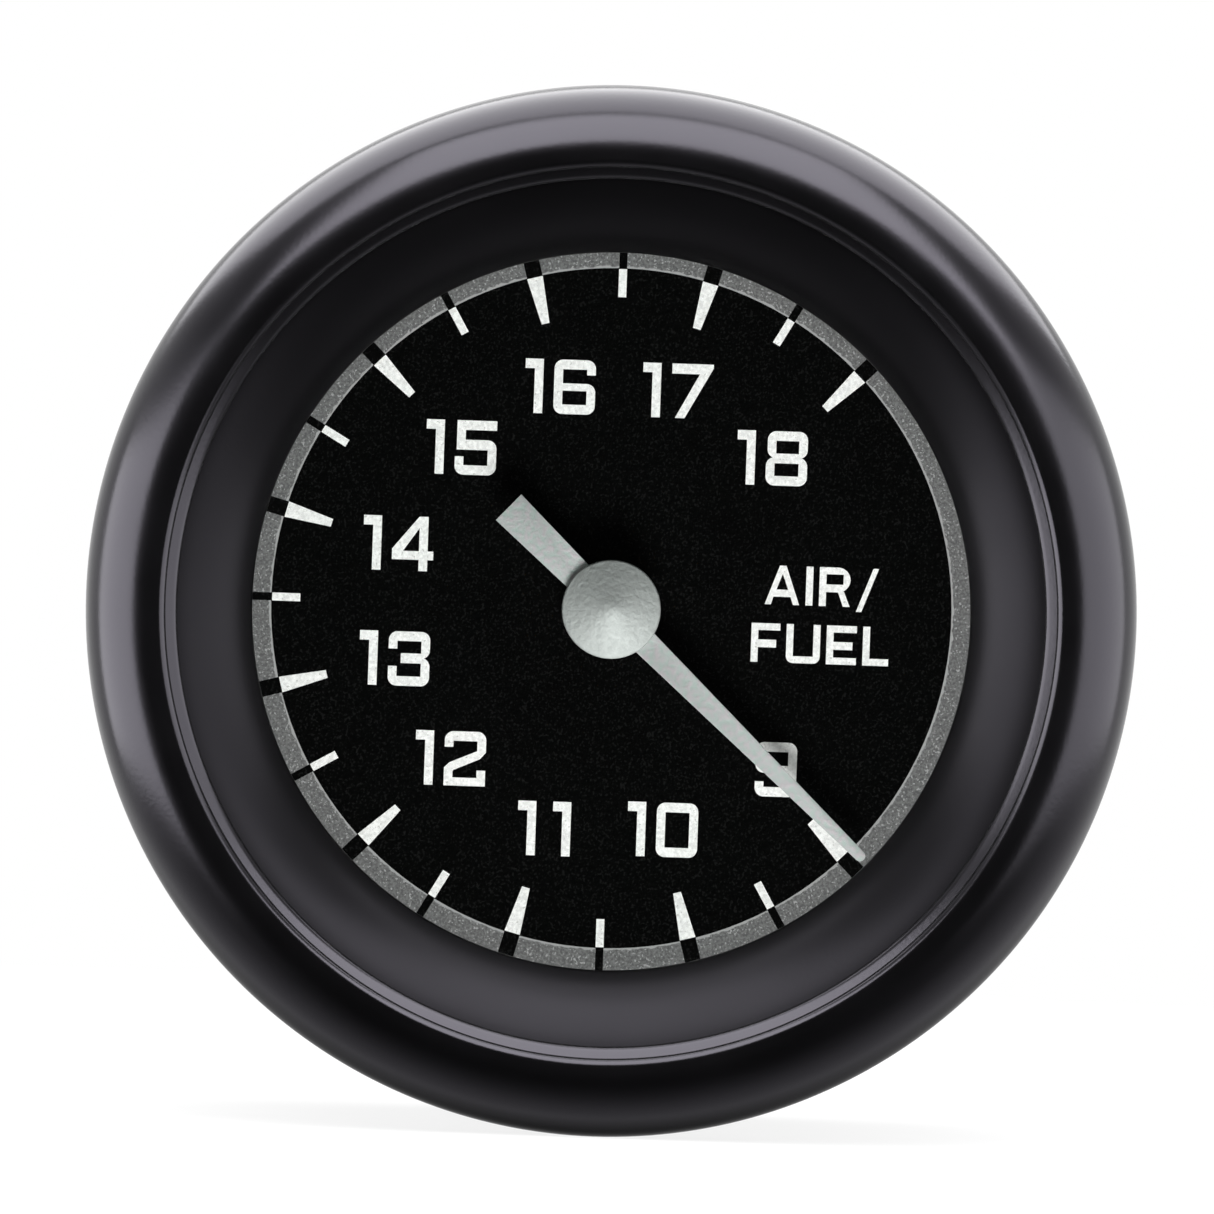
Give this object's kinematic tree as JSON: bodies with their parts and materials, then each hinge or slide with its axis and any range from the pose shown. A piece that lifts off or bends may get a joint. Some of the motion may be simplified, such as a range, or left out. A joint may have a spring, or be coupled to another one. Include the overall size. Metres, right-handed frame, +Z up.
{
  "type": "air fuel ratio gauge",
  "caption": "Round dash gauge with a black funnel bezel, a speckled dial, a swept pointer, a barrel case, a rear plug and a clamp bracket drawn up by thumb nuts.",
  "frame": {"origin": "on the gauge's axis, in the plane of the panel's front face, where the bezel's gasket seats", "axes": "-Y towards the person who reads the dial, +Y back through the panel, +Z up on the dial, +X to the reader's right"},
  "size_m": [0.0604, 0.0651, 0.0604],
  "materials": {
    "bezel_black": "satin black coating on a machined ring",
    "rubber_black": "matt moulded",
    "clear_glass": "polished, clear",
    "spacer_black": "matt black",
    "dial_black": "black with a fine speckle",
    "ring_grey": "printed grey with a fine speckle",
    "print_white": "printed off-white",
    "pointer_silver": "fine silver paint",
    "hub_silver": "satin turned",
    "brass": "turned",
    "steel": "bright zinc plated",
    "magnet": "sintered magnet",
    "bobbin": "moulded",
    "copper": "enamelled copper wire",
    "jewel": "polished",
    "guide_clear": "clear acrylic",
    "reflector_white": "moulded white",
    "lamp_yellow": "moulded lamp",
    "board_green": "solder mask",
    "chip_black": "moulded",
    "case_black": "moulded, fine grain",
    "connector_black": "moulded",
    "pin_gold": "plated pin"
  },
  "bodies": {
    "gauge": {"bezel": "bezel_black", "bezel_gasket": "rubber_black", "lens": "clear_glass", "lens_seal": "rubber_black", "spacer_ring": "spacer_black", "dial_plate": "dial_black", "chapter_ring": "ring_grey", "major_ticks": "print_white", "minor_ticks": "print_white", "numerals": "print_white", "legend": "print_white", "light_guide": "guide_clear", "reflector": "reflector_white", "lamps": "lamp_yellow", "main_board": "board_green", "main_board_chips": "chip_black", "bobbin_front": "bobbin", "bobbin_rear": "bobbin", "inner_coil": "copper", "outer_coil": "copper", "front_bearing": "brass", "pivot_jewel": "jewel", "shield_can": "steel", "coil_pins": "pin_gold", "link_header": "connector_black", "controller_board": "board_green", "controller_chips": "chip_black", "board_screws": "steel", "case": "case_black", "connector_housing": "connector_black", "connector_pins": "pin_gold", "mounting_studs": "brass"},
    "pointer": {"needle": "pointer_silver", "hub_cap": "hub_silver", "needle_collet": "brass", "spindle": "steel", "rotor_magnet": "magnet", "stop_arm": "steel"},
    "clamp": {"clamp_bracket": "steel", "lock_washers": "steel"},
    "nut_left": {"thumb_nut_left": "brass"},
    "nut_right": {"thumb_nut_right": "brass"}
  },
  "joints": [
    {"name": "pointer_sweep", "type": "hinge", "parent": "gauge", "child": "pointer", "pos_m": [0, 0, 0], "axis": [0, 1, 0], "range_deg": [0, 270]},
    {"name": "clamp_slide", "type": "slide", "parent": "gauge", "child": "clamp", "axis": [0, 1, 0], "range_m": [-0.0035, 0.0045]},
    {"name": "nut_left_turn", "type": "hinge", "parent": "clamp", "child": "nut_left", "pos_m": [-0.016, 0.045, 0], "axis": [0, 1, 0], "range_deg": [-1801, 2315]},
    {"name": "nut_right_turn", "type": "hinge", "parent": "clamp", "child": "nut_right", "pos_m": [0.016, 0.045, 0], "axis": [0, 1, 0], "range_deg": [-1801, 2315]}
  ],
  "couplings": [
    {"joint": "nut_left_turn", "follows": "clamp_slide", "rad_per_m": 8976},
    {"joint": "nut_right_turn", "follows": "clamp_slide", "rad_per_m": 8976}
  ]
}
